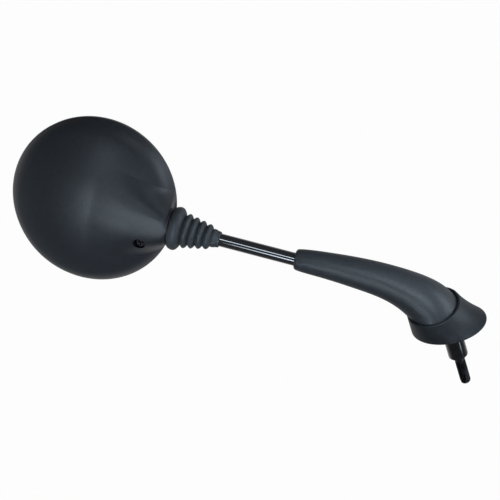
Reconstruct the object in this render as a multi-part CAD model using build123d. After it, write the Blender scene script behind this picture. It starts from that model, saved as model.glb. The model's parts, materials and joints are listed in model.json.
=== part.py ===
from build123d import *
import math
import os

# Right-hand motorcycle mirror on a ball joint, in millimetres.
# The origin is the root of the threaded stud, +Z runs up the stud's axis, the stem leans to -X
# and the glass faces +Y.

# Foot and stud
STUD_D = 8.0             # outside diameter of the thread, left plain
STUD_LENGTH = 25.0
STUD_TIP = 2.8           # rounding of the stud's end
FOOT_D = 15.0            # collar that passes through the handlebar cover
FOOT_CHAMFER = 3.0
FLANGE_D = 20.0          # shoulder that bears on the skirt's deck
FLANGE_T = 2.5
SOCKET_DEPTH = 14.0      # length of rod held in the foot

# Stem rod
STEM_D = 10.0
STEM_RISE = 24.7         # slope above the horizontal, degrees
STEM_REACH = 225.0       # from the elbow, where stem and stud axes meet, to the ball's centre
BEND_R = 22.0            # bend of the rod at its centre line
ELBOW_RISE = 7.3         # elbow above the seam

# Base skirt
RIM_HEIGHT = 32.8        # rim above the stud's root
SKIRT_HEIGHT = 18.0      # rim to seam
RIM_X = 29.5             # half sizes of the oval rim
RIM_Y = 24.6
SKIRT_WALL = 3.0
SKIRT_WAIST = 0.42       # height of the waist section, as a share of the skirt
SKIRT_HOLLOW = 2.2       # how far the long side curves in at the waist
DECK_T = 4.0             # deck that the foot's flange holds
HUB_WALL = 4.0
LIP_T = 1.5              # lip round the arm cover's end
LIP_DEPTH = 2.4
LIP_ROUND = 1.0
RIM_ROUND = 0.4

# Arm cover
COVER_X = 18.2           # half sizes of the oval lower end
COVER_Y = 22.3
COVER_SHIFT = 8.5        # lower end's centre, from the stud's axis towards -X
COVER_REACH = 113.5      # nose from the elbow, along the stem
COVER_CROWN = 2.6        # how far the middle of the cover rides above the stem's axis
COVER_WALL = 2.6
NOSE_R = 7.7
NOSE_ROUND = 2.4
NOSE_LENGTH = 12.0       # solid length round the rod
SEAM_GAP = 0.6           # shadow line between cover and skirt

# Ball joint
BALL_D = 17.0
BALL_BORE = 8.0          # the rod's end is turned down and pressed in here
BALL_SEAT = 0.3          # the rod's shoulder, inside the ball's round
LINER_T = 1.7
JOINT_FIT = 0.06         # radial running clearance
LINER_GAP = 0.4          # gap between the two half liners
TILT_LIMIT = 15.0        # degrees each way

# Mirror head: lengths along the neck count from the ball, depths from the rim plane
HEAD_R = 65.8
BALL_INSET = 12.8        # ball inside the head's edge, where the collar ends too
NECK_STAND = 15.6        # neck axis behind the rim plane
HEAD_ROLL = 19.0         # the back's upward turn about the neck axis, degrees
DOME_H = 30.0
FLANK_H = 10.0           # steep band above the rim
FLANK_IN = 4.6
KNEE_ROUND = 24.0        # rounding between the steep band and the dome
CROWN_FLAT = 1.2         # flat at the middle of the dome
HUMP_RISE = 0.4          # crest above the collar, and half of it above the dome's middle
HUMP_FOOT = 8.8          # half width beyond the collar, at the neck
HUMP_SPREAD = 0.7        # half width at the disc's centre, as a share of the disc's radius
HUMP_FADE = 30.0         # length over which its crest runs out into the dome
HUMP_PAST = 8.0          # how far past the disc's centre it runs out
HUMP_FULL = 4.5          # fullness of its arch at the neck
HUMP_SOFT = 2.4          # and at the disc's centre
HUMP_SINK = 0.3          # the hump's edges dip this far into the dome
HUMP_END = 2.0           # hump's end, short of the collar's face
HEAD_WALL = 2.5
COLLAR_R = 14.2
COLLAR_ROOT = 5.0        # where the collar's ring starts inside the head
SPIGOT_R = 11.9          # carries the boot's cuff
SPIGOT_LENGTH = 5.0
THROAT_R = 8.9           # neck bore at the ball's seat
BLOCK_HALF = 22.0        # seat block, half its width
BLOCK_BACK = 14.0        # seat block, from the ball towards the disc's centre
CORE_R = 12.0            # the hump is cored out up to the seat block
CORE_DROP = 0.6          # start of the core, below the top of the hollow

# Clamp that grips the ball
PLATE_T = 2.0
PLATE_DROP = 4.6         # ball centre to the plate's rear face
PLATE_GAP = 1.2          # left open, so that the screw can draw the plate in
PLATE_HALF = 5.5         # half width of the plate's bar
PLATE_NOSE = 4.0         # plate's reach past the ball
PLATE_ROOM = 0.5         # room for the plate beside the housing
SCREW_BACK = 6.2         # screws, from the ball towards the disc's centre
SCREW_SIDE = 15.8
SCREW_D = 5.0
SCREW_HEAD_D = 8.5
SCREW_HEAD_H = 3.3
SCREW_END = 1.0          # thread past the nut
RECESS_W = 1.3           # cross recess
RECESS_DEPTH = 1.6
ACCESS_D = 9.2           # hole in the back that the screwdriver goes through
SEAT_T = 4.2             # wall under the spring washer
WASHER_T = 1.3
NUT_SIDE = 8.0
NUT_H = 4.0
TAP_D = 4.0              # self-tapping screw at the other end of the plate
TAP_LENGTH = 13.0
TAP_HEAD_D = 7.6
TAP_HEAD_H = 2.6
HOLE_FIT = 0.1           # radial room round screws and bores

# Glass, pad and bezel
BEZEL_DEPTH = 7.0        # bezel in front of the rim plane
BEZEL_ROUND = 3.6
BEZEL_STEP = 0.3         # bezel stands inside the housing's edge
BEZEL_SEAT = 0.05        # room between the bezel and the housing's rim
BEZEL_LIP = 1.8
BEZEL_LAP = 1.6          # lip over the glass's edge
TAIL_LENGTH = 4.0        # snap skirt inside the housing
TAIL_T = 1.6
RIM_WIDTH = 4.8          # glass's edge inside the head's edge
GLASS_T = 2.5
GLASS_CURVE = 1200.0     # radius of the convex mirror
PAD_T = 1.7
GLASS_SEAT = 0.05        # room in front of the glass

# Boot: lengths from its wide end
BOOT_GAP = 0.7           # shadow gap between collar and boot
BOOT_LENGTH = 39.0
CUFF_R = 16.8
CUFF_LENGTH = 9.9
RIBS = 4
RIB_PITCH = 5.63
RIB_R = 13.4             # first rib
RIB_FALL = 1.2           # each rib is smaller than the last
VALLEY_R = 10.9
VALLEY_FALL = 1.08
BOOT_WALL = 1.3
TAIL_R = 7.1             # narrow cuff, at its root
TAIL_END_R = 6.0
RIB_ROUND = 0.7

# Places that follow from the sizes above
rise = math.radians(STEM_RISE)
roll = math.radians(HEAD_ROLL)
seam_z = RIM_HEIGHT + SKIRT_HEIGHT
elbow_z = seam_z + ELBOW_RISE
foot_top = elbow_z - BEND_R * math.tan((math.pi / 2 - rise) / 2)
deck_top = foot_top - FLANGE_T
ledge_z = seam_z - LIP_DEPTH
stem_axis = Vector(math.cos(rise), 0, -math.sin(rise))
lift_axis = Vector(math.sin(rise), 0, math.cos(rise))
back_axis = Vector(0, -math.cos(roll), 0) + lift_axis * math.sin(roll)
elbow = Vector(0, 0, elbow_z)
ball_centre = elbow - stem_axis * STEM_REACH
joint_plane = Plane(origin=ball_centre, x_dir=stem_axis, z_dir=back_axis)
neck_reach = HEAD_R - BALL_INSET
rim_centre = ball_centre - stem_axis * neck_reach - back_axis * NECK_STAND
head_plane = Plane(origin=rim_centre, x_dir=stem_axis, z_dir=back_axis)
liner_r = BALL_D / 2 + JOINT_FIT + LINER_T
seat_r = liner_r + JOINT_FIT
spigot_end = BALL_INSET + SPIGOT_LENGTH
mouth_r = spigot_end * math.tan(math.radians(TILT_LIMIT)) + STEM_D / 2 / math.cos(math.radians(TILT_LIMIT))
glass_r = HEAD_R - RIM_WIDTH
plate_rear = NECK_STAND - PLATE_DROP
plate_front = plate_rear - PLATE_T
block_front = plate_rear + PLATE_GAP
washer_seat = block_front + SEAT_T
head_seat = washer_seat + WASHER_T
screw_x = neck_reach - SCREW_BACK

UPRIGHT = (Align.CENTER, Align.CENTER, Align.MIN)
DOWNWARD = (Align.CENTER, Align.CENTER, Align.MAX)
OVER = 1.0               # how far a cutter runs past the face that it opens
FAR = 200.0              # longer than any cut


def smooth(t):
    """Ease from 0 to 1 with flat ends."""
    t = min(max(t, 0.0), 1.0)
    return t * t * (3 - 2 * t)


def rod_between(radius, start, end):
    """Round bar along the local X axis from start to end."""
    return Plane(origin=(start, 0, 0), z_dir=(1, 0, 0)) * Cylinder(radius, end - start, align=UPRIGHT)


def cone_between(r_start, r_end, start, end):
    """Round taper along the local X axis from start to end."""
    return Plane(origin=(start, 0, 0), z_dir=(1, 0, 0)) * Cone(r_start, r_end, end - start, align=UPRIGHT)


def post(radius, x, y, low, high):
    """Round bar along the local Z axis."""
    return Pos(x, y, low) * Cylinder(radius, high - low, align=UPRIGHT)


# Foot, rod and ball

def make_stem_foot():
    collar = Cylinder(FOOT_D / 2, foot_top, align=UPRIGHT)
    collar = chamfer(collar.edges().sort_by(Axis.Z)[0], min(FOOT_CHAMFER, (FOOT_D - STUD_D) / 2 - 0.2))
    stud = Cylinder(STUD_D / 2, STUD_LENGTH, align=DOWNWARD)
    stud = fillet(stud.edges().sort_by(Axis.Z)[0], min(STUD_TIP, STUD_D / 2 - 0.3))
    flange = Pos(0, 0, deck_top) * Cylinder(FLANGE_D / 2, FLANGE_T, align=UPRIGHT)
    socket = Pos(0, 0, foot_top + OVER) * Cylinder(STEM_D / 2, SOCKET_DEPTH + OVER, align=DOWNWARD)
    return collar + stud + flange - socket


def make_stem_rod():
    shoulder = rod_shoulder()
    line = FilletPolyline(
        (0, 0, foot_top - SOCKET_DEPTH), elbow, ball_centre + stem_axis * shoulder, radius=BEND_R
    )
    rod = sweep(Plane(origin=line @ 0, z_dir=line % 0) * Circle(STEM_D / 2), path=line)
    end = rod_between(BALL_BORE / 2, -ball_flat(), shoulder + OVER)
    return rod + joint_plane.location * end


def rod_shoulder():
    """Distance from the ball's centre to the shoulder of the rod."""
    return math.sqrt((BALL_D / 2) ** 2 - (STEM_D / 2) ** 2) - BALL_SEAT


def ball_flat():
    """Distance from the ball's centre to the flat that the rod's end is riveted over."""
    return math.sqrt((BALL_D / 2) ** 2 - (BALL_BORE / 2) ** 2)


def make_pivot_ball():
    shoulder = rod_shoulder()
    ball = Sphere(BALL_D / 2) & rod_between(BALL_D, -ball_flat(), shoulder)
    return joint_plane.location * (ball - rod_between(BALL_BORE / 2, -BALL_D, BALL_D))


def make_ball_liner(side):
    """Half liner on the back (side 1) or on the glass side (side -1) of the ball."""
    opening = math.asin(STEM_D / BALL_D) + math.radians(TILT_LIMIT + 3)
    shell = Sphere(liner_r) - Sphere(BALL_D / 2 + JOINT_FIT)
    shell = shell - cone_between(0, FAR * math.tan(opening), 0, FAR)
    keep = Pos(0, 0, side * LINER_GAP / 2) * Box(FAR, FAR, FAR, align=UPRIGHT if side > 0 else DOWNWARD)
    return joint_plane.location * (shell & keep)


# Arm cover and base skirt

def oval(half_x, half_y, shift, z):
    return Pos(-shift, 0, z) * Ellipse(half_x, half_y)


def cover_stations():
    """Centre line of the cover and its oval sections: share of the line, half height, half width."""
    def beside_stem(share, lift):
        return elbow - stem_axis * (COVER_REACH * share) + lift_axis * (COVER_CROWN * lift)

    line = Spline(
        beside_stem(1.0, 0.1), beside_stem(0.8, 0.75), beside_stem(0.55, 1.0), beside_stem(0.33, 0.35),
        (-COVER_SHIFT, 0, ledge_z),
    )
    return line, [
        (0.0, NOSE_R, NOSE_R),
        (0.10, NOSE_R + 1.5, NOSE_R + 1.5),
        (0.30, NOSE_R + 3.0, NOSE_R + 3.1),
        (0.55, NOSE_R + 4.7, NOSE_R + 5.2),
        (0.78, COVER_X - 3.7, COVER_Y - 6.1),
        (0.90, COVER_X - 2.0, COVER_Y - 3.1),
        (1.0, COVER_X, COVER_Y),
    ]


def cover_form(inset, stations, line):
    faces = []
    for share, half_height, half_width in stations:
        across = (0, 0, -1) if share == 1.0 else line % share
        plane = Plane(origin=line @ share, x_dir=(0, 1, 0), z_dir=across)
        faces.append(plane * Ellipse(half_width - inset, half_height - inset))
    return loft(faces)


def make_arm_cover():
    line, stations = cover_stations()
    cover = cover_form(0, stations, line)
    nose_edge = cover.edges().sort_by_distance(line @ 0)[0]
    cover = fillet(nose_edge, min(NOSE_ROUND, NOSE_R - STEM_D / 2 - HOLE_FIT - 0.3))
    hollow = cover_form(COVER_WALL, stations, line)
    nose_plane = Plane(origin=elbow - stem_axis * COVER_REACH, z_dir=stem_axis)
    hollow = hollow - nose_plane.location * Cylinder(FAR, 2 * NOSE_LENGTH)
    bore = nose_plane.location * Cylinder(STEM_D / 2 + HOLE_FIT, 2 * NOSE_LENGTH + OVER)
    return cover - hollow - bore


def make_base_skirt():
    top_x = COVER_X + SEAM_GAP + LIP_T
    top_y = COVER_Y + SEAM_GAP + LIP_T
    waist_z = RIM_HEIGHT + SKIRT_HEIGHT * (1 - SKIRT_WAIST)
    waist_x = top_x + (RIM_X - top_x) * SKIRT_WAIST - SKIRT_HOLLOW / 2
    waist_shift = COVER_SHIFT * (1 - SKIRT_WAIST) + SKIRT_HOLLOW / 2
    waist_y = top_y + (RIM_Y - top_y) * SKIRT_WAIST
    sections = [
        (RIM_X, RIM_Y, 0, RIM_HEIGHT),
        (waist_x, waist_y, waist_shift, waist_z),
        (top_x, top_y, COVER_SHIFT, seam_z),
    ]
    outside = loft([oval(*section) for section in sections])
    ends = outside.edges().sort_by(Axis.Z)
    outside = fillet(ends[0], RIM_ROUND)
    outside = fillet(outside.edges().sort_by(Axis.Z)[-1], LIP_ROUND)
    inside = loft([oval(a - SKIRT_WALL, b - SKIRT_WALL, shift, z) for a, b, shift, z in sections])
    hub = Pos(0, 0, RIM_HEIGHT + 1) * Cylinder(FOOT_D / 2 + HUB_WALL, deck_top - RIM_HEIGHT - 1, align=UPRIGHT)
    deck = Pos(0, 0, deck_top) * Box(FAR, FAR, DECK_T, align=DOWNWARD)
    inside = inside - deck - hub
    rebate = Pos(0, 0, ledge_z) * extrude(
        oval(COVER_X + SEAM_GAP, COVER_Y + SEAM_GAP, COVER_SHIFT, 0), amount=LIP_DEPTH + OVER
    )
    foot_hole = Cylinder(FOOT_D / 2 + HOLE_FIT, FAR, align=UPRIGHT)
    return outside - inside - rebate - foot_hole


# Boot

def boot_outline():
    """Outer and inner (length, radius) corners of the boot, from its wide end."""
    valleys = [(CUFF_LENGTH + k * RIB_PITCH, VALLEY_R - k * VALLEY_FALL) for k in range(RIBS + 1)]
    peaks = [(s + RIB_PITCH / 2, RIB_R - k * RIB_FALL) for k, (s, r) in enumerate(valleys[:-1])]
    ribs = []
    for k in range(RIBS):
        ribs += [valleys[k], peaks[k]]
    outer = [(0, COLLAR_R), (CUFF_LENGTH * 0.24, CUFF_R - 0.5), (CUFF_LENGTH * 0.52, CUFF_R)]
    outer += [(CUFF_LENGTH * 0.80, CUFF_R - 2.0)] + ribs + [valleys[-1]]
    outer += [(valleys[-1][0] + 1.0, TAIL_R), (BOOT_LENGTH, TAIL_END_R)]
    bore = STEM_D / 2 + JOINT_FIT
    inner = [(s, max(r - BOOT_WALL, bore + 0.3)) for s, r in ribs + [valleys[-1]]]
    cuff = SPIGOT_R + JOINT_FIT
    seat = SPIGOT_LENGTH - BOOT_GAP + 0.4
    head = [(0, cuff), (seat, cuff), (seat, inner[0][1] + 0.8)]
    tail = [(valleys[-1][0] + 1.6, bore), (BOOT_LENGTH, bore)]
    return outer, head + inner + tail


def make_bellows_boot():
    outer, inner = boot_outline()
    section = make_face(Polyline(*(outer + inner[::-1]), close=True))
    soft = [v for v in section.vertices() if CUFF_LENGTH * 0.1 < v.X < BOOT_LENGTH - 2 * RIB_ROUND]
    outer_soft = [v for v in soft if any(abs(v.X - s) + abs(v.Y - r) < 0.01 for s, r in outer)]
    section = fillet(outer_soft, RIB_ROUND)
    boot = revolve(section, axis=Axis.X)
    return joint_plane.location * Pos(BALL_INSET + BOOT_GAP, 0, 0) * boot


# Mirror head

knee_r = HEAD_R - FLANK_IN
dome_r = (knee_r ** 2 + (DOME_H - FLANK_H) ** 2) / (2 * (DOME_H - FLANK_H))


def knee_arc():
    """Rounding between the dome and the steep band: its centre, and the radii where it starts and ends."""
    lean = math.atan2(FLANK_IN, FLANK_H)
    along = Vector(-math.sin(lean), math.cos(lean))
    inside = Vector(-math.cos(lean), -math.sin(lean))
    dome_centre = Vector(0, DOME_H - dome_r)
    start = Vector(HEAD_R, 0) + inside * KNEE_ROUND
    reach = (start - dome_centre).dot(along)
    room = (dome_r - KNEE_ROUND) ** 2 - (start - dome_centre).length ** 2
    centre = start + along * (math.sqrt(reach ** 2 + room) - reach)
    return centre, centre.X * dome_r / (dome_r - KNEE_ROUND), (centre - inside * KNEE_ROUND).X


knee_centre, knee_from, knee_to = knee_arc()


def plain_height(x, y):
    """Outside of the back without the hump: the dome, its rounded edge and the steep band round it."""
    radius = math.hypot(x, y)
    if radius > knee_to:
        return FLANK_H * (HEAD_R - radius) / FLANK_IN
    if radius > knee_from:
        return knee_centre.Y + math.sqrt(KNEE_ROUND ** 2 - (radius - knee_centre.X) ** 2)
    return DOME_H - dome_r + math.sqrt(dome_r ** 2 - radius ** 2)


def hump_half(x):
    """Half width of the hump, which spreads from the neck towards the disc's centre."""
    neck_half = COLLAR_R + HUMP_FOOT
    return neck_half + (HUMP_SPREAD * HEAD_R - neck_half) * (1 - x / HEAD_R)


def hump_fade(x):
    """1 along the hump, easing to 0 where its crest runs out into the dome."""
    return smooth((x + HUMP_PAST) / HUMP_FADE)


def hump_rise(x, across):
    """Height of the hump over the plain back: a full arch at the neck, a soft swell at the disc's centre."""
    back = min(1 - x / HEAD_R, 1.0)
    neck_top = NECK_STAND + COLLAR_R + HUMP_RISE
    crest = neck_top + (DOME_H + HUMP_RISE / 2 - neck_top) * back - plain_height(x, 0)
    fullness = HUMP_FULL + (HUMP_SOFT - HUMP_FULL) * back
    return crest * hump_fade(x) * (1 - abs(across) ** fullness) ** 2


def hump_section(x):
    """Face across the hump, its edges and its run-out just inside the plain back."""
    half = hump_half(x)
    points = []
    for step in (-1, -0.9, -0.8, -0.68, -0.52, -0.35, -0.17, 0, 0.17, 0.35, 0.52, 0.68, 0.8, 0.9, 1):
        dip = HUMP_SINK * (0.2 + 0.8 * max(step ** 6, (1 - hump_fade(x)) ** 3))
        points.append((half * step, plain_height(x, half * step) + hump_rise(x, step) - dip))
    low = -NECK_STAND
    line = Spline(*points) + Polyline(points[-1], (half, low), (-half, low), points[0])
    return Plane(origin=(x, 0, 0), x_dir=(0, 1, 0), z_dir=(1, 0, 0)) * make_face(line)


def make_dome():
    line = Polyline((CROWN_FLAT, DOME_H), (0, DOME_H), (0, 0), (HEAD_R, 0), (knee_r, FLANK_H))
    line = line + RadiusArc((knee_r, FLANK_H), (CROWN_FLAT, DOME_H), -dome_r)
    section = make_face(Plane.XZ * line)
    knee = [v for v in section.vertices() if abs(v.X - knee_r) < 0.01]
    dome = revolve(fillet(knee, KNEE_ROUND), axis=Axis.Z)
    start = HEAD_R - HUMP_END
    shares = (0, 0.06, 0.13, 0.22, 0.33, 0.45, 0.57, 0.69, 0.81, 0.93, 1.05)
    hump = loft([hump_section(start - HEAD_R * share) for share in shares])
    return dome + (hump & Cylinder(HEAD_R, FAR, align=UPRIGHT))


def make_cavity():
    """Hollow of the plain dome, with the hump cored out as far as the seat block."""
    knee = HEAD_R - FLANK_IN - HEAD_WALL
    shelf = FLANK_H - HEAD_WALL * 0.4
    crown = DOME_H - HEAD_WALL
    sphere = (knee ** 2 + (crown - shelf) ** 2) / (2 * (crown - shelf))
    edge = HEAD_R - HEAD_WALL
    line = Polyline((0, crown), (0, -OVER), (edge, -OVER), (edge, 0), (knee, shelf))
    line = line + RadiusArc((knee, shelf), (0, crown), -sphere)
    dome = revolve(make_face(Plane.XZ * line), axis=Axis.Z)
    core_end = neck_reach - BLOCK_BACK
    start = Plane(origin=(0, 0, crown - CORE_DROP - 1.5 * CORE_R), z_dir=(1, 0, 0)) * Circle(1.5 * CORE_R)
    end = Plane(origin=(core_end, 0, NECK_STAND), z_dir=(1, 0, 0)) * Circle(CORE_R)
    core = loft([start, end])
    return dome + (core & Pos(0, 0, block_front) * Box(FAR, FAR, FAR, align=UPRIGHT))


def make_head_housing():
    dome = make_dome()
    low = neck_reach - BLOCK_BACK
    block = Pos(low, 0, block_front) * Box(
        BLOCK_BACK + COLLAR_ROOT, 2 * BLOCK_HALF, FAR, align=(Align.MIN, Align.CENTER, Align.MIN)
    )
    neck = Pos(neck_reach, 0, NECK_STAND)
    collar = neck * rod_between(COLLAR_R, COLLAR_ROOT, BALL_INSET)
    spigot = neck * rod_between(SPIGOT_R, COLLAR_ROOT, spigot_end)
    housing = dome - make_cavity() + (block & dome) + collar + spigot
    seat = neck * (Sphere(seat_r) + Cylinder(seat_r, FAR, align=DOWNWARD))
    throat_at = math.sqrt(seat_r ** 2 - THROAT_R ** 2) - 0.2
    throat = neck * cone_between(THROAT_R, mouth_r + HOLE_FIT, throat_at, spigot_end)
    throat = throat + neck * rod_between(mouth_r + HOLE_FIT, spigot_end - 0.01, spigot_end + OVER)
    access = post(ACCESS_D / 2, screw_x, -SCREW_SIDE, washer_seat, FAR)
    shank = post(SCREW_D / 2 + HOLE_FIT, screw_x, -SCREW_SIDE, 0, FAR)
    tap = post(TAP_D / 2, screw_x, SCREW_SIDE, 0, plate_front + TAP_LENGTH)
    room = post(seat_r + PLATE_T + PLATE_ROOM, neck_reach, 0, -OVER, block_front)
    room = room - past_plate_nose(PLATE_ROOM)
    return head_plane.location * (housing - seat - throat - access - shank - tap - room)


def past_plate_nose(room):
    """Everything beyond the plate's straight front edge."""
    return Pos(neck_reach + PLATE_NOSE + room, 0, 0) * Box(
        FAR, FAR, FAR, align=(Align.MIN, Align.CENTER, Align.CENTER)
    )


def make_clamp_plate():
    bar = Pos(screw_x, 0, plate_front) * extrude(
        RectangleRounded(2 * PLATE_HALF, 2 * (SCREW_SIDE + PLATE_HALF), PLATE_HALF - 0.1), amount=PLATE_T
    )
    dish_r = seat_r + PLATE_T
    flange = post(dish_r, neck_reach, 0, plate_front, plate_rear)
    neck = Pos(neck_reach, 0, NECK_STAND)
    dish = neck * Sphere(dish_r) & Pos(0, 0, plate_rear) * Box(FAR, FAR, FAR, align=DOWNWARD)
    plate = bar + flange + dish - neck * Sphere(seat_r) - past_plate_nose(0)
    for side, size in ((-1, SCREW_D), (1, TAP_D)):
        plate = plate - post(size / 2 + HOLE_FIT, screw_x, side * SCREW_SIDE, 0, NECK_STAND)
    return head_plane.location * plate


def cross_recess(z):
    slot = Box(SCREW_HEAD_D * 0.55, RECESS_W, 2 * RECESS_DEPTH)
    return Pos(0, 0, z) * (slot + Rot(0, 0, 90) * slot)


def make_clamp_screw():
    head_top = head_seat + SCREW_HEAD_H
    head = Pos(0, 0, head_seat) * Cylinder(SCREW_HEAD_D / 2, SCREW_HEAD_H, align=UPRIGHT)
    head = fillet(head.edges().sort_by(Axis.Z)[-1], SCREW_HEAD_H * 0.25)
    shank = post(SCREW_D / 2, 0, 0, plate_front - NUT_H - SCREW_END, head_seat)
    screw = head + shank - cross_recess(head_top)
    return head_plane.location * Pos(screw_x, -SCREW_SIDE, 0) * screw


def make_spring_washer():
    ring = post(SCREW_HEAD_D / 2, 0, 0, washer_seat, head_seat)
    ring = ring - post(SCREW_D / 2 + HOLE_FIT, 0, 0, 0, FAR)
    split = Box(SCREW_D, 0.8, FAR, align=(Align.MIN, Align.CENTER, Align.CENTER))
    return head_plane.location * Pos(screw_x, -SCREW_SIDE, 0) * (ring - split)


def make_clamp_nut():
    nut = Pos(0, 0, plate_front) * Box(NUT_SIDE, NUT_SIDE, NUT_H, align=DOWNWARD)
    nut = chamfer(nut.edges().group_by(Axis.Z)[0], 0.5)
    nut = nut - Cylinder(SCREW_D / 2, FAR)
    return head_plane.location * Pos(screw_x, -SCREW_SIDE, 0) * nut


def make_plate_screw():
    head = Pos(0, 0, plate_front) * Cylinder(TAP_HEAD_D / 2, TAP_HEAD_H, align=DOWNWARD)
    head = fillet(head.edges().sort_by(Axis.Z)[0], TAP_HEAD_H * 0.3)
    shank = Cylinder(TAP_D / 2, TAP_LENGTH - 1, align=UPRIGHT)
    shank = chamfer(shank.edges().sort_by(Axis.Z)[-1], TAP_D * 0.2)
    slot = Box(TAP_HEAD_D * 0.55, RECESS_W * 0.8, 2 * RECESS_DEPTH * 0.8)
    cross = Pos(0, 0, plate_front - TAP_HEAD_H) * (slot + Rot(0, 0, 90) * slot)
    screw = head + Pos(0, 0, plate_front) * shank - cross
    return head_plane.location * Pos(screw_x, SCREW_SIDE, 0) * screw


# Glass, pad and bezel

def bulge(radius):
    """How far the convex mirror stands out at the centre of a disc of this radius."""
    return GLASS_CURVE - math.sqrt(GLASS_CURVE ** 2 - radius ** 2)


def lens(front_edge, back_edge, radius, flat_back):
    """Disc with a convex front towards -Z and a back that follows it or is flat."""
    line = Line((0, front_edge - bulge(radius)), (0, back_edge - (0 if flat_back else bulge(radius))))
    if flat_back:
        line = line + Line((0, back_edge), (radius, back_edge))
    else:
        line = line + RadiusArc((0, back_edge - bulge(radius)), (radius, back_edge), -GLASS_CURVE)
    line = line + Line((radius, back_edge), (radius, front_edge))
    line = line + RadiusArc((radius, front_edge), (0, front_edge - bulge(radius)), GLASS_CURVE)
    return revolve(make_face(Plane.XZ * line), axis=Axis.Z)


glass_front = -BEZEL_DEPTH + BEZEL_LIP
glass_back = glass_front + GLASS_T
pad_back = glass_back + PAD_T


def make_mirror_glass():
    return head_plane.location * lens(glass_front, glass_back, glass_r, False)


def make_glass_pad():
    return head_plane.location * lens(glass_back, pad_back, glass_r - BEZEL_LAP, True)


def make_bezel_ring():
    outer = HEAD_R - BEZEL_STEP
    groove = glass_r + HOLE_FIT
    lip = glass_r - BEZEL_LAP
    tail_r = HEAD_R - HEAD_WALL - HOLE_FIT
    tail_end = tail_r - TAIL_LENGTH * FLANK_IN / (FLANK_H - HEAD_WALL * 0.4)
    lip_z = glass_front - bulge(glass_r) + bulge(lip) - GLASS_SEAT
    line = Polyline(
        (outer, -BEZEL_SEAT), (tail_r, -BEZEL_SEAT), (tail_end, TAIL_LENGTH), (tail_end - TAIL_T, TAIL_LENGTH),
        (groove, 0), (groove, glass_front - GLASS_SEAT), (lip, lip_z), (lip, -BEZEL_DEPTH),
        (outer, -BEZEL_DEPTH), close=True,
    )
    section = make_face(Plane.XZ * line)
    corner = [v for v in section.vertices() if v.X > outer - 0.01 and v.Z < -BEZEL_DEPTH + 0.01]
    ring = revolve(fillet(corner, BEZEL_ROUND), axis=Axis.Z)
    notch = Pos(neck_reach, 0, 0) * Box(
        FAR, 2 * (COLLAR_R + OVER), FAR, align=(Align.MIN, Align.CENTER, Align.MIN)
    )
    return head_plane.location * (ring - notch)


NODES = {
    "stem_foot": make_stem_foot(),
    "stem_rod": make_stem_rod(),
    "pivot_ball": make_pivot_ball(),
    "arm_cover": make_arm_cover(),
    "base_skirt": make_base_skirt(),
    "bellows_boot": make_bellows_boot(),
    "ball_liner_rear": make_ball_liner(1),
    "ball_liner_front": make_ball_liner(-1),
    "head_housing": make_head_housing(),
    "clamp_plate": make_clamp_plate(),
    "clamp_screw": make_clamp_screw(),
    "spring_washer": make_spring_washer(),
    "clamp_nut": make_clamp_nut(),
    "plate_screw": make_plate_screw(),
    "mirror_glass": make_mirror_glass(),
    "glass_pad": make_glass_pad(),
    "bezel_ring": make_bezel_ring(),
}

os.makedirs("parts", exist_ok=True)
for name, solid in NODES.items():
    export_step(solid, "parts/" + name + ".step")
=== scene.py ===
import json
import math
import bmesh
import bpy
from mathutils import Matrix, Vector

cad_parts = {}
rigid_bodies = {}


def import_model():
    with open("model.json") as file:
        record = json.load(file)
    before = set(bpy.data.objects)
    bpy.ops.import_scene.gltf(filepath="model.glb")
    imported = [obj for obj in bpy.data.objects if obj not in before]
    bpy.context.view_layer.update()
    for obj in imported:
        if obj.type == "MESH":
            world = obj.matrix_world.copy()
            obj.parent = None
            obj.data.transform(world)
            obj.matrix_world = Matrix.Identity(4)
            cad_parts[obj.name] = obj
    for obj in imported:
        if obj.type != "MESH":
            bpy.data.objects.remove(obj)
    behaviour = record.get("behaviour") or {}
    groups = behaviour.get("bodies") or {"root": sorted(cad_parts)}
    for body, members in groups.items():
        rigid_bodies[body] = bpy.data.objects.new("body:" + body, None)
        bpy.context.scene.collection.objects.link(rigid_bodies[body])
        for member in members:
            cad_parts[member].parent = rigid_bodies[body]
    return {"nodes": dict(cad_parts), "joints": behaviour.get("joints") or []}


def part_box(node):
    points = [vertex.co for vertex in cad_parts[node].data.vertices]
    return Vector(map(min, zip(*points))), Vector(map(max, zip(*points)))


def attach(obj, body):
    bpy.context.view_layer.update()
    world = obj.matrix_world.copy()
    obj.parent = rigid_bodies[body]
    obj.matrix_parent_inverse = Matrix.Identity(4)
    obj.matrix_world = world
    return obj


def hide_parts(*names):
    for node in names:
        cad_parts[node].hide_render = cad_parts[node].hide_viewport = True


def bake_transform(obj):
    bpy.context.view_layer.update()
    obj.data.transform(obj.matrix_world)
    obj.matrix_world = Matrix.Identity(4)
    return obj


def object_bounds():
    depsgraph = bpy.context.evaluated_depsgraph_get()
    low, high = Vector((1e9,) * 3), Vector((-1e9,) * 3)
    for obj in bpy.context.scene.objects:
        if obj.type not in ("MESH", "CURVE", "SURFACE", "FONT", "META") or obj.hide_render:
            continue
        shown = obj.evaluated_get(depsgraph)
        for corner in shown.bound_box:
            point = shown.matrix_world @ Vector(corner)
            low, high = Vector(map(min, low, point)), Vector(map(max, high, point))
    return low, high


for start_object in list(bpy.data.objects):
    bpy.data.objects.remove(start_object)

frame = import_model()
cad_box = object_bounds()
nodes = frame["nodes"]
scene = bpy.context.scene
MM = 0.001

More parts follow.
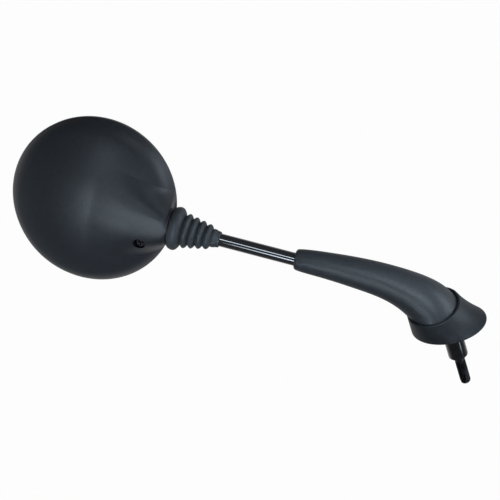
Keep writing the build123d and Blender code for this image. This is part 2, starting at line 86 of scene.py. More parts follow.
# Places on the mirror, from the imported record
joints = {joint["name"]: joint for joint in frame["joints"]}
ball_centre = Vector(joints["head_tilt"]["pos_m"])
stem_axis = Vector(joints["boot_turn"]["axis"]).normalized()
tilt_axis = Vector(joints["head_tilt"]["axis"]).normalized()
back_axis = stem_axis.cross(tilt_axis).normalized()
HEAD_REACH = 53.0 * MM       # ball's centre to the axis of the round head
head_middle = ball_centre - stem_axis * HEAD_REACH
stem_middle = ball_centre + stem_axis * 75.0 * MM
arm_middle = Vector((-35.0 * MM, 0.0, 70.0 * MM))
foot_middle = Vector((0.0, 0.0, 4.0 * MM))

# Relief of the finishes
GRAIN_DEPTH = 0.06 * MM      # etched grain of the hard mouldings
RUBBER_DEPTH = 0.03 * MM
NYLON_DEPTH = 0.02 * MM
FOAM_DEPTH = 0.3 * MM
LATHE_DEPTH = 0.01 * MM
PEEL_DEPTH = 0.004 * MM      # slow waves in sprayed enamel
PEEL_PER_METRE = 160.0
CROWN_SHIFT = 5.0 * MM       # where the hump runs out into the dome: from the head's axis towards the neck
CROWN_STAND = 14.4 * MM      # and behind the ball's centre
CROWN_REACH = 40.0 * MM      # the faint line there is rounded within this distance
CROWN_ROUND = 6.0 * MM
SOFT_FROM = 0.75             # share of that distance at which the rounding starts to fade

# Threaded foot
STUD_R = 4.0 * MM
STUD_PITCH = 1.25 * MM
STUD_CORE = 3.25 * MM
STUD_PLAIN = 1.6 * MM        # plain length under the collar
STUD_TIP = 2.8 * MM
CREST_HALF = 1 / 16          # half the flat on a thread's crest, as a share of the pitch
FLANK_SHARE = 5 / 16         # its flank, as a share of the pitch
STEPS_PER_TURN = 10
TIP_STEPS = 9
FOOT_R = 7.5 * MM
FOOT_CHAMFER = 3.0 * MM
FLANGE_R = 10.0 * MM
FLANGE_T = 2.5 * MM
SOCKET_R = 5.0 * MM
SOCKET_DEPTH = 14.0 * MM
EDGE = 0.25 * MM             # broken edge
SHELF_EDGE = 0.10 * MM       # broken edges at the two ends of the chamfer
CHAMFER_EDGE = 0.075 * MM
FOOT_STEPS = 72

# Ribbed boot, its lengths counted from the wide end
BOOT_START = 13.5 * MM       # wide end from the ball's centre
BOOT_LENGTH = 39.0 * MM
BOOT_WALL = 0.9 * MM
BOOT_STEPS = 96
CUFF_LENGTH = 9.9 * MM
CUFF_R = 16.8 * MM
# Share of the cuff's length, and drop below its full radius
CUFF_SHAPE = (
    (0.0, 2.6 * MM), (0.08, 1.45 * MM), (0.24, 0.5 * MM),
    (0.48, 0.0), (0.70, 0.7 * MM), (0.88, 2.9 * MM),
)
CUFF_STEPS = 6
SPIGOT_R = 12.35 * MM
SPIGOT_ROOM = 4.7 * MM
SPIGOT_LIP = 0.5 * MM        # lip in front of the spigot's end, inside the first valley's radius
RIBS = 4
RIB_PITCH = 5.63 * MM
RIB_R = 13.4 * MM            # first rib
RIB_FALL = 1.2 * MM          # each rib is smaller than the last
RIB_ROUND = 1.7              # powers that give a rib its full round back
RIB_FULL = 0.85
RIB_STEPS = 12
VALLEY_R = 10.9 * MM
VALLEY_FALL = 1.08 * MM
TAIL_R = 7.1 * MM
TAIL_END_R = 6.0 * MM
# Distance past the last valley, and step from the tail's radius
TAIL_ROOT = ((0.7 * MM, -0.1 * MM), (2.0 * MM, 0.0))
# Distance before the boot's end, and step from the radius there
TAIL_LIP = ((2.0 * MM, 0.35 * MM), (0.4 * MM, 0.2 * MM))
TAIL_EDGE = 0.25 * MM
TAIL_STEPS = 5
TAIL_HOLLOW = 1.6 * MM       # the hollow ends this far past the last valley
STEM_BORE = 5.06 * MM
STEM_ROOM = 0.3 * MM

# Mirror glass, a thin bowl that bulges forward
GLASS_R = 61.0 * MM
GLASS_T = 2.5 * MM
GLASS_CURVE = 1200.0 * MM
GLASS_CROWN = 22.35 * MM     # front of the glass from the ball's centre
GLASS_RINGS = 24
GLASS_STEPS = 96

# Tests on turned outlines
SAME_SPOT = 1e-7
ON_AXIS = 1e-6

# Camera of the photograph
CAMERA_PLACE = Vector((0.3040, -0.9061, 0.7475))
CAMERA_BACK = Vector((0.3704, -0.7629, 0.5299))
CAMERA_RIGHT = Vector((0.9245, 0.2474, -0.2900))
CAMERA_LENS = 112.94
CAMERA_SENSOR = 36.0
CAMERA_FAR = 50.0

# Floor, sky and lamps
FLOOR_DROP = 0.30            # floor below the mirror
FLOOR_SIZE = 12.0
FLOOR_COLOUR = (0.30, 0.31, 0.32, 1.0)
SHADOW_SHARE = 0.02          # share of the floor's own shading in the white that the camera sees
WHITE = (1.0, 1.0, 1.0, 1.0)
SKY_COLOUR = (0.92, 0.96, 1.0, 1.0)
SKY_STRENGTH = 0.14
SKY_LOW = 0.05               # heights between which the backdrop darkens
SKY_HIGH = 0.55
SKY_OVERHEAD = 0.04
DIM_SHARE = 0.06             # backdrop that mirrored rays see on the photograph's side
WHITE_SHARE = 0.5            # and on the glass's side
TURN_FROM = 0.05             # directions between which one gives way to the other
TURN_TO = 0.5
LAMP_COLOUR = (0.75, 0.88, 1.0)
LAMP_REACH = 1.35
OPEN_BEAM = 180              # a lamp with no grid
UPPER_STRIP_TURN = -9.2      # degrees about the stem
LOW_STRIP_TURN = 47          # degrees about the stud


# Node helpers

def new_group(name, inputs, outputs):
    """Shader node group with number inputs, given with their values, and named outputs."""
    tree = bpy.data.node_groups.new(name, "ShaderNodeTree")
    for socket, value in inputs.items():
        item = tree.interface.new_socket(name=socket, in_out="INPUT", socket_type="NodeSocketFloat")
        item.default_value = value
    for socket in outputs:
        tree.interface.new_socket(name=socket, in_out="OUTPUT", socket_type="NodeSocketFloat")
    start = tree.nodes.new("NodeGroupInput")
    end = tree.nodes.new("NodeGroupOutput")
    return tree, start, end


def add(tree, kind, **values):
    """Node of a kind, with its properties and its inputs' values set by name."""
    node = tree.nodes.new("ShaderNode" + kind)
    for key, value in values.items():
        if hasattr(node, key):
            setattr(node, key, value)
        else:
            node.inputs[key.replace("_", " ")].default_value = value
    return node


def feed(tree, value, socket):
    """Input set to a number, or linked to a socket."""
    if isinstance(value, (int, float)):
        socket.default_value = value
    else:
        tree.links.new(value, socket)


def maths(tree, operation, first, second):
    """Maths node on two values, each a socket or a number."""
    node = add(tree, "Math", operation=operation)
    for socket, value in zip(node.inputs, (first, second)):
        feed(tree, value, socket)
    return node.outputs[0]


def span(tree, value, low, high, to_low, to_high):
    """Value moved from one span to another, held at the ends."""
    node = add(tree, "MapRange", From_Min=low, From_Max=high, To_Min=to_low, To_Max=to_high)
    tree.links.new(value, node.inputs["Value"])
    return node.outputs["Result"]


def noise(tree, where, scale, detail, roughness):
    """Noise over these coordinates, its scale a socket or a number."""
    node = add(tree, "TexNoise", Detail=detail, Roughness=roughness)
    tree.links.new(where, node.inputs["Vector"])
    feed(tree, scale, node.inputs["Scale"])
    return node.outputs["Fac"]


def stretched(tree, where, scale):
    """Coordinates drawn out along one axis, for marks that run one way."""
    node = add(tree, "Mapping", Scale=scale)
    tree.links.new(where, node.inputs["Vector"])
    return node.outputs["Vector"]


# Effects that several finishes share

def make_moulded_grain():
    """Etched mould grain: small rounded cells broken up by a finer noise."""
    inputs = {"Cells per metre": 1400.0, "Fine share": 0.35}
    tree, start, end = new_group("moulded grain", inputs, ["Height", "Tone"])
    where = add(tree, "TexCoord").outputs["Object"]
    per_metre = start.outputs["Cells per metre"]
    cells = add(tree, "TexVoronoi", feature="SMOOTH_F1", Smoothness=0.6)
    tree.links.new(where, cells.inputs["Vector"])
    tree.links.new(per_metre, cells.inputs["Scale"])
    fine = noise(tree, where, maths(tree, "MULTIPLY", per_metre, 2.3), detail=3.0, roughness=0.6)
    rounded = maths(tree, "SUBTRACT", 1.0, cells.outputs["Distance"])
    fine_part = maths(tree, "MULTIPLY", fine, start.outputs["Fine share"])
    tree.links.new(maths(tree, "ADD", rounded, fine_part), end.inputs["Height"])
    broad = noise(tree, where, maths(tree, "MULTIPLY", per_metre, 0.25), detail=3.0, roughness=0.65)
    tree.links.new(span(tree, broad, 0.3, 0.7, 0.0, 1.0), end.inputs["Tone"])
    return tree


def make_handling_haze():
    """Soft patches left by handling and by the flow of the moulding, and faint rubbed streaks."""
    inputs = {"Patches per metre": 28.0, "Streaks": 0.5}
    tree, start, end = new_group("handling haze", inputs, ["Haze", "Rub"])
    where = add(tree, "TexCoord").outputs["Object"]
    patches = noise(tree, where, start.outputs["Patches per metre"], detail=4.0, roughness=0.55)
    tree.links.new(span(tree, patches, 0.32, 0.70, 0.0, 1.0), end.inputs["Haze"])
    drawn_out = stretched(tree, where, (60.0, 900.0, 420.0))
    streak = noise(tree, drawn_out, 1.0, detail=3.0, roughness=0.6)
    rubbed = span(tree, streak, 0.60, 0.74, 0.0, 1.0)
    tree.links.new(maths(tree, "MULTIPLY", rubbed, start.outputs["Streaks"]), end.inputs["Rub"])
    return tree


def make_turned_lines():
    """Fine lathe lines about an axis through the origin, and a mottled bright plating."""
    inputs = {"Lines per metre": 5200.0, "Mottle per metre": 900.0}
    tree, start, end = new_group("turned lines", inputs, ["Height", "Mottle"])
    where = add(tree, "TexCoord").outputs["Object"]
    round_axis = stretched(tree, where, (0.04, 0.04, 1.0))
    lines = noise(tree, round_axis, start.outputs["Lines per metre"], detail=2.0, roughness=0.5)
    tree.links.new(lines, end.inputs["Height"])
    mottle = noise(tree, where, start.outputs["Mottle per metre"], detail=4.0, roughness=0.6)
    tree.links.new(span(tree, mottle, 0.35, 0.65, 0.0, 1.0), end.inputs["Mottle"])
    return tree


GRAIN = make_moulded_grain()
HAZE = make_handling_haze()
TURNED = make_turned_lines()


class Finish:
    """A material with one Principled shader, and the steps that build its look."""

    def __init__(self, name, **sockets):
        self.material = bpy.data.materials.new(name)
        self.material.use_nodes = True
        self.tree = self.material.node_tree
        self.shader = self.tree.nodes["Principled BSDF"]
        for key, value in sockets.items():
            self.shader.inputs[key.replace("_", " ")].default_value = value

    def effect(self, group, **values):
        """Shared effect with its own values; gives its outputs."""
        node = self.tree.nodes.new("ShaderNodeGroup")
        node.node_tree = group
        for key, value in values.items():
            node.inputs[key.replace("_", " ")].default_value = value
        return node.outputs

    def colour(self, mask, low, high):
        """Base colour that runs between two tones."""
        mix = add(self.tree, "Mix", data_type="RGBA")
        self.tree.links.new(mask, mix.inputs["Factor"])
        mix.inputs["A"].default_value = (*low, 1.0)
        mix.inputs["B"].default_value = (*high, 1.0)
        self.tree.links.new(mix.outputs["Result"], self.shader.inputs["Base Color"])

    def roughness(self, mask, low, high):
        """Roughness that runs between two numbers."""
        self.tree.links.new(span(self.tree, mask, 0.0, 1.0, low, high), self.shader.inputs["Roughness"])

    def worn(self, haze):
        """Handled patches and rubbed streaks in one mask."""
        return maths(self.tree, "MAXIMUM", haze["Haze"], haze["Rub"])

    def bump(self, height, depth, strength, over=None):
        """Relief of this depth in metres, over the surface's own normal or a softened one."""
        node = add(self.tree, "Bump", Distance=depth, Strength=strength)
        if over is not None:
            self.tree.links.new(over, node.inputs["Normal"])
        self.tree.links.new(height, node.inputs["Height"])
        self.tree.links.new(node.outputs["Normal"], self.shader.inputs["Normal"])

    def where(self):
        return add(self.tree, "TexCoord").outputs["Object"]

    def softened(self, place, reach, radius):
        """Normal that is rounded over this radius, within reach of a place."""
        away = add(self.tree, "VectorMath", operation="DISTANCE")
        self.tree.links.new(self.where(), away.inputs[0])
        away.inputs[1].default_value = place
        near = span(self.tree, away.outputs["Value"], SOFT_FROM * reach, reach, 1.0, 0.0)
        rounded = add(self.tree, "Bevel", samples=8, Radius=radius)
        plain = add(self.tree, "NewGeometry")
        mix = add(self.tree, "Mix", data_type="VECTOR")
        self.tree.links.new(near, mix.inputs["Factor"])
        self.tree.links.new(plain.outputs["Normal"], mix.inputs["A"])
        self.tree.links.new(rounded.outputs["Normal"], mix.inputs["B"])
        unit = add(self.tree, "VectorMath", operation="NORMALIZE")
        self.tree.links.new(mix.outputs["Result"], unit.inputs[0])
        return unit.outputs["Vector"]


# Finishes

def make_head_plastic():
    """Slate black moulding, with the faint line where the hump runs out into the dome rounded away."""
    finish = Finish("slate black moulded plastic", IOR=1.5, Specular_IOR_Level=0.5)
    grain = finish.effect(GRAIN, Cells_per_metre=1500.0, Fine_share=0.4)
    haze = finish.effect(HAZE, Patches_per_metre=22.0, Streaks=0.4)
    patches = maths(finish.tree, "MULTIPLY", haze["Haze"], 0.35)
    speckle = maths(finish.tree, "MULTIPLY", grain["Tone"], 0.65)
    tone = maths(finish.tree, "ADD", patches, speckle)
    finish.colour(tone, low=(0.0115, 0.0130, 0.0165), high=(0.0205, 0.0235, 0.0290))
    finish.roughness(finish.worn(haze), 0.48, 0.40)
    crown = head_middle + stem_axis * CROWN_SHIFT + back_axis * CROWN_STAND
    soft_normal = finish.softened(crown, CROWN_REACH, CROWN_ROUND)
    finish.bump(grain["Height"], GRAIN_DEPTH, strength=0.6, over=soft_normal)
    return finish.material


def make_cover_plastic(name, shade, mirrored):
    """Matt black grained plastic, its tone scaled by shade. A shade below the cover's gives a darker copy
    of it, which is painted shade.
    """
    finish = Finish(name, IOR=1.5, Specular_IOR_Level=mirrored)
    grain = finish.effect(GRAIN, Cells_per_metre=1900.0, Fine_share=0.5)
    haze = finish.effect(HAZE, Patches_per_metre=30.0, Streaks=0.3)
    low = [shade * part for part in (0.020, 0.0235, 0.028)]
    high = [shade * part for part in (0.035, 0.041, 0.048)]
    finish.colour(grain["Tone"], low, high)
    finish.roughness(finish.worn(haze), 0.52, 0.44)
    finish.bump(grain["Height"], GRAIN_DEPTH, strength=0.55)
    return finish.material


def make_boot_rubber():
    """Moulded rubber, a little greyer where it has been handled."""
    finish = Finish("matt black moulded rubber", IOR=1.5, Specular_IOR_Level=0.5)
    grain = finish.effect(GRAIN, Cells_per_metre=2600.0, Fine_share=0.8)
    haze = finish.effect(HAZE, Patches_per_metre=70.0, Streaks=0.2)
    finish.colour(haze["Haze"], low=(0.030, 0.034, 0.0385), high=(0.046, 0.052, 0.058))
    finish.roughness(grain["Tone"], 0.66, 0.52)
    finish.bump(grain["Height"], RUBBER_DEPTH, strength=0.5)
    return finish.material


def make_gloss_black():
    """Sprayed enamel with a clear gloss and a slow, shallow peel."""
    finish = Finish("gloss black enamel", IOR=1.52, Coat_Weight=1.0, Coat_Roughness=0.03, Coat_IOR=1.8)
    haze = finish.effect(HAZE, Patches_per_metre=60.0, Streaks=0.6)
    finish.colour(haze["Haze"], low=(0.004, 0.004, 0.005), high=(0.008, 0.008, 0.010))
    finish.roughness(finish.worn(haze), 0.05, 0.13)
    peel = noise(finish.tree, finish.where(), PEEL_PER_METRE, detail=1.0, roughness=0.4)
    finish.bump(peel, PEEL_DEPTH, strength=0.2)
    return finish.material


def make_black_steel():
    """Turned steel under a thin gloss black coat."""
    coat = {"Coat_Weight": 0.1, "Coat_Roughness": 0.05}
    finish = Finish("gloss black coated steel", IOR=1.5, Specular_IOR_Level=0.42, **coat)
    turned = finish.effect(TURNED, Lines_per_metre=3800.0, Mottle_per_metre=500.0)
    haze = finish.effect(HAZE, Patches_per_metre=120.0, Streaks=0.5)
    finish.colour(turned["Mottle"], low=(0.004, 0.004, 0.0045), high=(0.008, 0.008, 0.009))
    finish.roughness(haze["Haze"], 0.09, 0.17)
    finish.bump(turned["Height"], LATHE_DEPTH, strength=0.25)
    return finish.material


def make_bright_steel():
    """Bare steel, turned bright."""
    finish = Finish("turned bright steel", Metallic=1.0)
    turned = finish.effect(TURNED, Lines_per_metre=6500.0, Mottle_per_metre=700.0)
    finish.colour(turned["Mottle"], low=(0.54, 0.54, 0.55), high=(0.66, 0.66, 0.66))
    finish.roughness(turned["Mottle"], 0.20, 0.32)
    finish.bump(turned["Height"], LATHE_DEPTH, strength=0.3)
    return finish.material


def make_fastener_steel(name, mottle, patches, low, high, smooth, rough):
    """Plated or blackened steel of the screws, nut and plate."""
    finish = Finish(name, Metallic=1.0)
    turned = finish.effect(TURNED, Lines_per_metre=4500.0, Mottle_per_metre=mottle)
    haze = finish.effect(HAZE, Patches_per_metre=patches, Streaks=0.6)
    finish.colour(turned["Mottle"], low, high)
    finish.roughness(haze["Haze"], smooth, rough)
    finish.bump(turned["Height"], LATHE_DEPTH, strength=0.4)
    return finish.material


def make_liner_nylon():
    """Natural nylon of the ball's two half liners."""
    finish = Finish("natural nylon", IOR=1.53, Subsurface_Weight=0.15, Subsurface_Scale=0.001)
    grain = finish.effect(GRAIN, Cells_per_metre=1200.0, Fine_share=0.3)
    haze = finish.effect(HAZE, Patches_per_metre=90.0, Streaks=0.3)
    finish.colour(haze["Haze"], low=(0.70, 0.68, 0.62), high=(0.78, 0.76, 0.71))
    finish.roughness(grain["Tone"], 0.42, 0.52)
    finish.bump(grain["Height"], NYLON_DEPTH, strength=0.3)
    return finish.material


def make_silvered_glass():
    """Silvered mirror, faintly marked by wiping."""
    finish = Finish("silvered glass", Metallic=1.0)
    haze = finish.effect(HAZE, Patches_per_metre=18.0, Streaks=0.8)
    finish.colour(haze["Haze"], low=(0.84, 0.865, 0.87), high=(0.87, 0.885, 0.89))
    finish.roughness(finish.worn(haze), 0.012, 0.035)
    return finish.material


def make_pad_foam():
    """Dark open foam behind the glass."""
    finish = Finish("dark foam pad", IOR=1.45, Specular_IOR_Level=0.3)
    grain = finish.effect(GRAIN, Cells_per_metre=900.0, Fine_share=0.9)
    finish.colour(grain["Tone"], low=(0.030, 0.030, 0.031), high=(0.060, 0.060, 0.060))
    finish.roughness(grain["Tone"], 0.85, 0.95)
    finish.bump(grain["Height"], FOAM_DEPTH, strength=0.9)
    return finish.material


head_plastic = make_head_plastic()
cover_plastic = make_cover_plastic("matt black grained plastic", shade=0.9, mirrored=0.56)
# The skirt is the cover's plastic in a darker tone, which is painted shade, with a weaker sheen.
skirt_plastic_painted_shade = make_cover_plastic("matt black cover plastic in painted shade", shade=0.62, mirrored=0.36)
boot_rubber = make_boot_rubber()
gloss_black = make_gloss_black()
black_steel = make_black_steel()
bright_steel = make_bright_steel()
plated_steel = make_fastener_steel(
    "zinc plated steel", mottle=1100.0, patches=160.0,
    low=(0.47, 0.46, 0.42), high=(0.60, 0.59, 0.54), smooth=0.30, rough=0.46,
)
screw_black = make_fastener_steel(
    "blackened screw steel", mottle=1300.0, patches=180.0,
    low=(0.008, 0.008, 0.009), high=(0.018, 0.017, 0.017), smooth=0.34, rough=0.50,
)
liner_nylon = make_liner_nylon()
silvered_glass = make_silvered_glass()
pad_foam = make_pad_foam()

FINISH_OF_NODE = {
    "head_housing": head_plastic,
    "bezel_ring": head_plastic,
    "arm_cover": cover_plastic,
    "base_skirt": skirt_plastic_painted_shade,
    "stem_rod": gloss_black,
    "pivot_ball": bright_steel,
    "ball_liner_rear": liner_nylon,
    "ball_liner_front": liner_nylon,
    "clamp_plate": plated_steel,
    "clamp_screw": screw_black,
    "spring_washer": screw_black,
    "clamp_nut": plated_steel,
    "plate_screw": plated_steel,
    "mirror_glass": silvered_glass,
    "glass_pad": pad_foam,
    "bellows_boot": boot_rubber,
    "stem_foot": black_steel,
}
for node_name, finish_material in FINISH_OF_NODE.items():
    nodes[node_name].material_slots[0].material = finish_material


# Turned pieces

def outline_is_closed(outline):
    """An outline that doesn't start and end on the axis closes on itself."""
    return outline[0][1] > ON_AXIS or outline[-1][1] > ON_AXIS


def turned_piece(name, outline_at, steps, place, finish, sharp_angle):
    """Mesh turned about local Z. outline_at(angle) gives (height, radius) points of a closed or
    axis-to-axis outline; place takes it to the part's frame."""
    mesh = bpy.data.meshes.new(name)
    work = bmesh.new()
    rings = []
    for step in range(steps):
        angle = 2 * math.pi * step / steps
        ring = []
        for height, radius in outline_at(angle):
            spot = place @ Vector((radius * math.cos(angle), radius * math.sin(angle), height))
            ring.append(work.verts.new(spot))
        rings.append(ring)
    closed = outline_is_closed(outline_at(0.0))
    for step in range(steps):
        here = rings[step]
        there = rings[(step + 1) % steps]
        for k in range(len(here) - 1):
            work.faces.new((here[k], there[k], there[k + 1], here[k + 1]))
        if closed:
            work.faces.new((here[-1], there[-1], there[0], here[0]))
    bmesh.ops.remove_doubles(work, verts=work.verts, dist=SAME_SPOT)
    bmesh.ops.recalc_face_normals(work, faces=work.faces)
    work.to_mesh(mesh)
    work.free()
    mesh.materials.append(finish)
    mesh.shade_smooth()
    mesh.set_sharp_from_angle(angle=math.radians(sharp_angle))
    piece = bpy.data.objects.new(name, mesh)
    scene.collection.objects.link(piece)
    return piece


def axes_frame(x_axis, y_axis, z_axis, origin):
    """Matrix that takes local axes to these directions, at this place."""
    matrix = Matrix((x_axis, y_axis, z_axis)).transposed().to_4x4()
    matrix.translation = origin
    return matrix


# Threaded foot

def held(value):
    """Value held between 0 and 1."""
    return min(max(value, 0.0), 1.0)


def thread_radius(height, angle, end):
    """Radius of a 60 degree thread that fades out under the collar and follows the rounded tip."""
    turn = (height / STUD_PITCH - angle / (2 * math.pi)) % 1.0
    flank = (abs(turn - 0.5) - CREST_HALF) / FLANK_SHARE
    radius = STUD_R - (STUD_R - STUD_CORE) * held(flank)
    fade = held((height + 2 * STUD_PLAIN) / STUD_PLAIN)
    radius += (STUD_R - radius) * fade
    below = end + STUD_TIP - height
    if below > 0:
        tip = STUD_R - STUD_TIP + math.sqrt(max(STUD_TIP ** 2 - below ** 2, 0.0))
        radius = min(radius, tip)
    return radius


def stud_outline(angle, end):
    """Rounded tip and thread, from the stud's end up to its root."""
    heights = [end + STUD_TIP * (1 - math.cos(math.pi / 2 * k / TIP_STEPS)) for k in range(TIP_STEPS)]
    steps = int((-end - STUD_TIP) / STUD_PITCH * STEPS_PER_TURN)
    heights += [(end + STUD_TIP) * (1 - k / steps) for k in range(steps + 1)]
    tip_flat = [(end, 0.0), (end, 0.5 * (STUD_R - STUD_TIP))]
    return tip_flat + [(height, thread_radius(height, angle, end)) for height in heights]


def foot_outline(angle):
    """Stud, chamfered collar and flange, and the socket that holds the rod."""
    low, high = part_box("stem_foot")
    top = high.z
    shelf = FOOT_R - FOOT_CHAMFER
    under = top - FLANGE_T
    points = stud_outline(angle, low.z)
    points += [(0.0, shelf - EDGE), (SHELF_EDGE, shelf), (FOOT_CHAMFER - EDGE, FOOT_R - EDGE)]
    points += [(FOOT_CHAMFER, FOOT_R - CHAMFER_EDGE), (FOOT_CHAMFER + EDGE, FOOT_R)]
    points += [(under, FOOT_R), (under, FLANGE_R - EDGE), (under + EDGE, FLANGE_R)]
    points += [(top - EDGE, FLANGE_R), (top, FLANGE_R - EDGE), (top, SOCKET_R)]
    points += [(top - SOCKET_DEPTH, SOCKET_R), (top - SOCKET_DEPTH, 0.0)]
    return points


threaded_foot = turned_piece(
    "threaded_foot", foot_outline, FOOT_STEPS, Matrix.Identity(4), black_steel, sharp_angle=38)
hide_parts("stem_foot")
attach(threaded_foot, "arm")


# Ribbed boot

def smooth_line(points, per_span):
    """Points on a smooth curve through the given ones."""
    line = []
    for k in range(len(points) - 1):
        before = Vector(points[max(k - 1, 0)])
        here = Vector(points[k])
        there = Vector(points[k + 1])
        after = Vector(points[min(k + 2, len(points) - 1)])
        for step in range(per_span):
            t = step / per_span
            spot = here * 2 + (there - before) * t
            spot += (before * 2 - here * 5 + there * 4 - after) * t ** 2
            spot += (here * 3 - before - there * 3 + after) * t ** 3
            line.append((spot.x / 2, spot.y / 2))
    line.append(tuple(points[-1]))
    return line


def valley(k):
    """Place and radius of the valley before a rib."""
    return CUFF_LENGTH + k * RIB_PITCH, VALLEY_R - k * VALLEY_FALL


def rib_outline(k):
    """Full round rib between two valleys."""
    start, low = valley(k)
    low_next = valley(k + 1)[1]
    peak = RIB_R - k * RIB_FALL
    line = []
    for step in range(RIB_STEPS):
        t = step / RIB_STEPS
        bottom = low + (low_next - low) * t
        swell = (1 - abs(2 * t - 1) ** RIB_ROUND) ** RIB_FULL
        line.append((start + RIB_PITCH * t, bottom + (peak - bottom) * swell))
    return line


def boot_outside():
    """Rounded wide cuff, full round ribs with narrow valleys, and the narrow cuff on the stem."""
    cuff = [(share * CUFF_LENGTH, CUFF_R - drop) for share, drop in CUFF_SHAPE]
    cuff.append(valley(0))
    line = smooth_line(cuff, CUFF_STEPS)[:-1]
    for k in range(RIBS):
        line += rib_outline(k)
    last_valley = valley(RIBS)
    tail = [last_valley]
    tail += [(last_valley[0] + past, TAIL_R + step) for past, step in TAIL_ROOT]
    tail += [(BOOT_LENGTH - before, TAIL_END_R + step) for before, step in TAIL_LIP]
    return line + smooth_line(tail, TAIL_STEPS)


def boot_outline(angle):
    """Outside, then the hollow back to the spigot's seat; the same at every angle."""
    inside = [(BOOT_LENGTH, TAIL_END_R - TAIL_EDGE), (BOOT_LENGTH, STEM_BORE)]
    inside.append((valley(RIBS)[0] + TAIL_HOLLOW, STEM_BORE))
    for k in range(RIBS, -1, -1):
        place, radius = valley(k)
        inside.append((place, max(radius - BOOT_WALL, STEM_BORE + STEM_ROOM)))
        if k > 0:
            inside.append((place - RIB_PITCH / 2, RIB_R - (k - 1) * RIB_FALL - BOOT_WALL))
    inside += [(SPIGOT_ROOM, VALLEY_R - SPIGOT_LIP), (SPIGOT_ROOM, SPIGOT_R), (0.0, SPIGOT_R)]
    return boot_outside() + inside


boot_frame = axes_frame(back_axis, tilt_axis, stem_axis, ball_centre + stem_axis * BOOT_START)
ribbed_boot = turned_piece(
    "ribbed_boot", boot_outline, BOOT_STEPS, boot_frame, boot_rubber, sharp_angle=50)
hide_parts("bellows_boot")
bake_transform(ribbed_boot)


# Mirror glass, turned so that its middle mirrors cleanly

def glass_outline(angle):
    """Back, broken edge and bulging front; the same at every angle."""
    radii = [GLASS_R * k / GLASS_RINGS for k in range(GLASS_RINGS)]
    radii.append(GLASS_R - EDGE)
    curve_centre = GLASS_CROWN - GLASS_CURVE
    bowl = [(curve_centre + math.sqrt(GLASS_CURVE ** 2 - radius ** 2), radius) for radius in radii]
    back = [(height - GLASS_T, radius) for height, radius in bowl]
    rim = [(back[-1][0] + EDGE, GLASS_R), (bowl[-1][0] - EDGE, GLASS_R)]
    return back + rim + bowl[::-1]


glass_frame = axes_frame(stem_axis, stem_axis.cross(back_axis), -back_axis, head_middle)
bowed_glass = turned_piece(
    "bowed_glass", glass_outline, GLASS_STEPS, glass_frame, silvered_glass, sharp_angle=25)
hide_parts("mirror_glass")
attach(bowed_glass, "head")


# Camera, floor, sky and lamps

camera_back = CAMERA_BACK.normalized()
camera_right = (CAMERA_RIGHT - camera_back * CAMERA_RIGHT.dot(camera_back)).normalized()
camera_up = camera_back.cross(camera_right)


def make_camera():
    camera = bpy.data.objects.new("camera", bpy.data.cameras.new("camera"))
    camera.data.lens = CAMERA_LENS
    camera.data.sensor_width = CAMERA_SENSOR
    camera.data.clip_end = CAMERA_FAR
    camera.matrix_world = axes_frame(camera_right, camera_up, camera_back, CAMERA_PLACE)
    scene.collection.objects.link(camera)
    scene.camera = camera


def seen_as_backdrop(tree, direction):
    """How much of the white backdrop a ray sees: all of it for the camera. A mirror or clear ray sees it
    on the glass's side, and a dim studio on the photograph's side."""
    path = add(tree, "LightPath")
    mirror = maths(tree, "MAXIMUM", path.outputs["Is Glossy Ray"], path.outputs["Is Transmission Ray"])
    along = add(tree, "VectorMath", operation="DOT_PRODUCT")
    tree.links.new(direction, along.inputs[0])
    along.inputs[1].default_value = Vector((-camera_back.x, -camera_back.y, 0)).normalized()
    share = span(tree, along.outputs["Value"], TURN_FROM, TURN_TO, DIM_SHARE, WHITE_SHARE)
    return maths(tree, "MAXIMUM", path.outputs["Is Camera Ray"], maths(tree, "MULTIPLY", mirror, share))


def mixed(tree, share, first, second):
    """Mix of two shaders by a share, a socket or a number."""
    node = add(tree, "MixShader")
    feed(tree, share, node.inputs[0])
    tree.links.new(first.outputs[0], node.inputs[1])
    tree.links.new(second.outputs[0], node.inputs[2])
    return node


def make_floor_white():
    """White to the camera, with a trace of the mirror's shadow; pale grey to the light."""
    material = bpy.data.materials.new("white floor")
    material.use_nodes = True
    tree = material.node_tree
    tree.nodes.clear()
    paint = add(tree, "BsdfDiffuse", Color=FLOOR_COLOUR)
    glow = add(tree, "Emission", Color=WHITE, Strength=1.0)
    outward = add(tree, "VectorMath", operation="NORMALIZE")
    tree.links.new(add(tree, "NewGeometry").outputs["Position"], outward.inputs[0])
    backdrop = seen_as_backdrop(tree, outward.outputs["Vector"])
    choice = mixed(tree, backdrop, paint, mixed(tree, SHADOW_SHARE, glow, paint))
    tree.links.new(choice.outputs[0], add(tree, "OutputMaterial").inputs["Surface"])
    return material


def make_floor():
    work = bmesh.new()
    bmesh.ops.create_grid(work, x_segments=1, y_segments=1, size=FLOOR_SIZE / 2)
    mesh = bpy.data.meshes.new("floor")
    work.to_mesh(mesh)
    work.free()
    mesh.materials.append(make_floor_white())
    floor = bpy.data.objects.new("floor", mesh)
    floor.location = (0, 0, cad_box[0].z - FLOOR_DROP)
    scene.collection.objects.link(floor)


def make_sky():
    """White at the horizon, darker overhead; weaker as a light than as a backdrop."""
    world = bpy.data.worlds.new("studio")
    world.use_nodes = True
    scene.world = world
    tree = world.node_tree
    tree.nodes.clear()
    where = add(tree, "TexCoord").outputs["Generated"]
    part = add(tree, "SeparateXYZ")
    tree.links.new(where, part.inputs[0])
    level = span(tree, part.outputs["Z"], SKY_LOW, SKY_HIGH, 1.0, SKY_OVERHEAD)
    backdrop = add(tree, "Background", Color=WHITE)
    tree.links.new(level, backdrop.inputs["Strength"])
    light = add(tree, "Background", Color=SKY_COLOUR, Strength=SKY_STRENGTH)
    choice = mixed(tree, seen_as_backdrop(tree, where), light, backdrop)
    tree.links.new(choice.outputs[0], add(tree, "OutputWorld").inputs["Surface"])


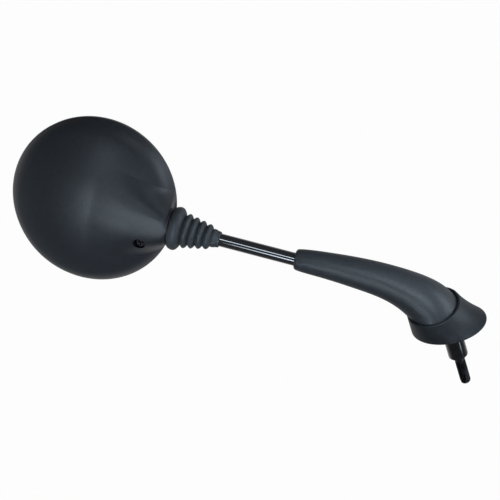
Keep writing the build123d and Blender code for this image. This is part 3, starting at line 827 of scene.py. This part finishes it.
def from_camera(right, down):
    """Direction turned by these degrees from the line to the camera."""
    sideways = Matrix.Rotation(math.radians(right), 3, camera_up)
    return sideways @ Matrix.Rotation(math.radians(down), 3, camera_right) @ camera_back


def soft_box(name, aim, direction, along, width, length, watts, reach=LAMP_REACH, beam=OPEN_BEAM):
    """Flat lamp that faces its aim from this direction, its long side along a line. A grid may
    narrow its beam, in degrees."""
    lamp = bpy.data.lights.new(name, "AREA")
    lamp.shape = "RECTANGLE"
    lamp.size = length
    lamp.size_y = width
    lamp.energy = watts
    lamp.color = LAMP_COLOUR
    lamp.spread = math.radians(beam)
    holder = bpy.data.objects.new(name, lamp)
    back = direction.normalized()
    side = (along - back * along.dot(back)).normalized()
    holder.matrix_world = axes_frame(side, back.cross(side), back, aim + back * reach)
    holder.visible_camera = False
    scene.collection.objects.link(holder)


def make_lamps():
    key_side = from_camera(right=-9, down=34)
    soft_box("key box", head_middle, key_side, stem_axis, width=0.34, length=0.42, watts=0.46, beam=30)
    # Seen in the stem, a lamp stands where the line to the camera is mirrored across the stem.
    stem_mirrored = camera_back - stem_axis * 2 * camera_back.dot(stem_axis)
    strip_side = Matrix.Rotation(math.radians(UPPER_STRIP_TURN), 3, stem_axis) @ stem_mirrored
    soft_box("upper strip", stem_middle, strip_side, stem_axis, width=0.26, length=0.26, watts=1.5)
    right_side = from_camera(right=80, down=-18)
    soft_box("right side box", stem_middle, right_side, camera_up, width=0.4, length=0.8, watts=7.0)
    top_side = from_camera(right=40, down=-50)
    soft_box("top box", stem_middle, top_side, camera_right, width=0.4, length=0.5, watts=1.2)
    from_below = Vector((camera_back.x, camera_back.y, -camera_back.z))
    low_side = Matrix.Rotation(math.radians(LOW_STRIP_TURN), 3, "Z") @ from_below
    upright = Vector((0, 0, 1))
    soft_box("low strip", foot_middle, low_side, upright, width=0.03, length=0.15, watts=0.09, reach=0.26)
    arm_side = from_camera(right=12, down=-12)
    soft_box(
        "arm box", arm_middle, arm_side, stem_axis,
        width=0.12, length=0.20, watts=0.06, reach=0.30, beam=55,
    )


make_camera()
make_floor()
make_sky()
make_lamps()
scene.view_settings.view_transform = "Standard"
